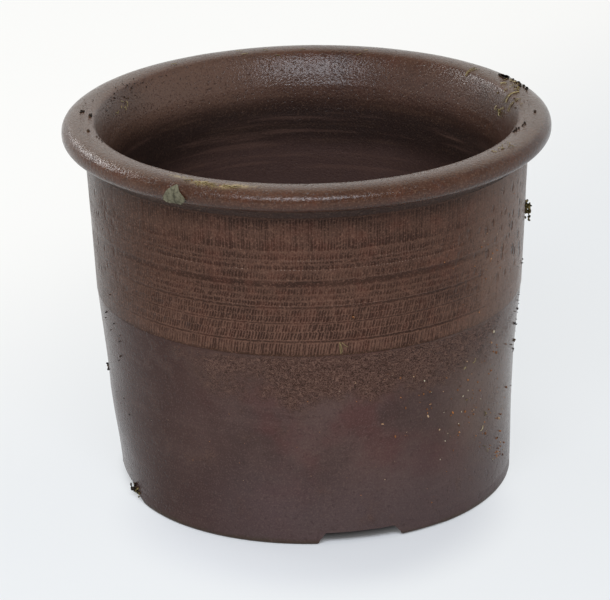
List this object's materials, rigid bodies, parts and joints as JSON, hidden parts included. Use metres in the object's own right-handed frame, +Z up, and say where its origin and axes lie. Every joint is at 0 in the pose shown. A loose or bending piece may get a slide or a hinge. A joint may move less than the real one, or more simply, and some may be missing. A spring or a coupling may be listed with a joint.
{
  "type": "stoneware planter pot",
  "caption": "Round glazed stoneware pot with a rolled rim, a chattered band round the upper wall, a drain hole in the floor and a notched foot ring.",
  "frame": {"origin": "middle of the foot ring, on the ground", "axes": "+Z up along the pot's axis, -Y the front, +X the right seen from the front"},
  "size_m": [0.36, 0.36, 0.28],
  "materials": {
    "rim_glaze": "semi-gloss brown salt-type glaze, fine bumps, worn lighter along the crest",
    "band_glaze": "warm brown glaze, semi-matt, over chattered strokes and turned grooves",
    "wall_glaze": "semi-gloss dark purple-brown glaze with soft mottling",
    "floor_glaze": "dark brown glaze inside, dusty with soil",
    "foot_clay": "glazed outside, bare worn clay where it meets the ground"
  },
  "bodies": {
    "root": {"rim_coil": "rim_glaze", "upper_wall": "band_glaze", "lower_wall": "wall_glaze", "floor_slab": "floor_glaze", "foot_front_left": "foot_clay", "foot_front_right": "foot_clay", "foot_back_right": "foot_clay", "foot_back_left": "foot_clay"}
  },
  "joints": []
}
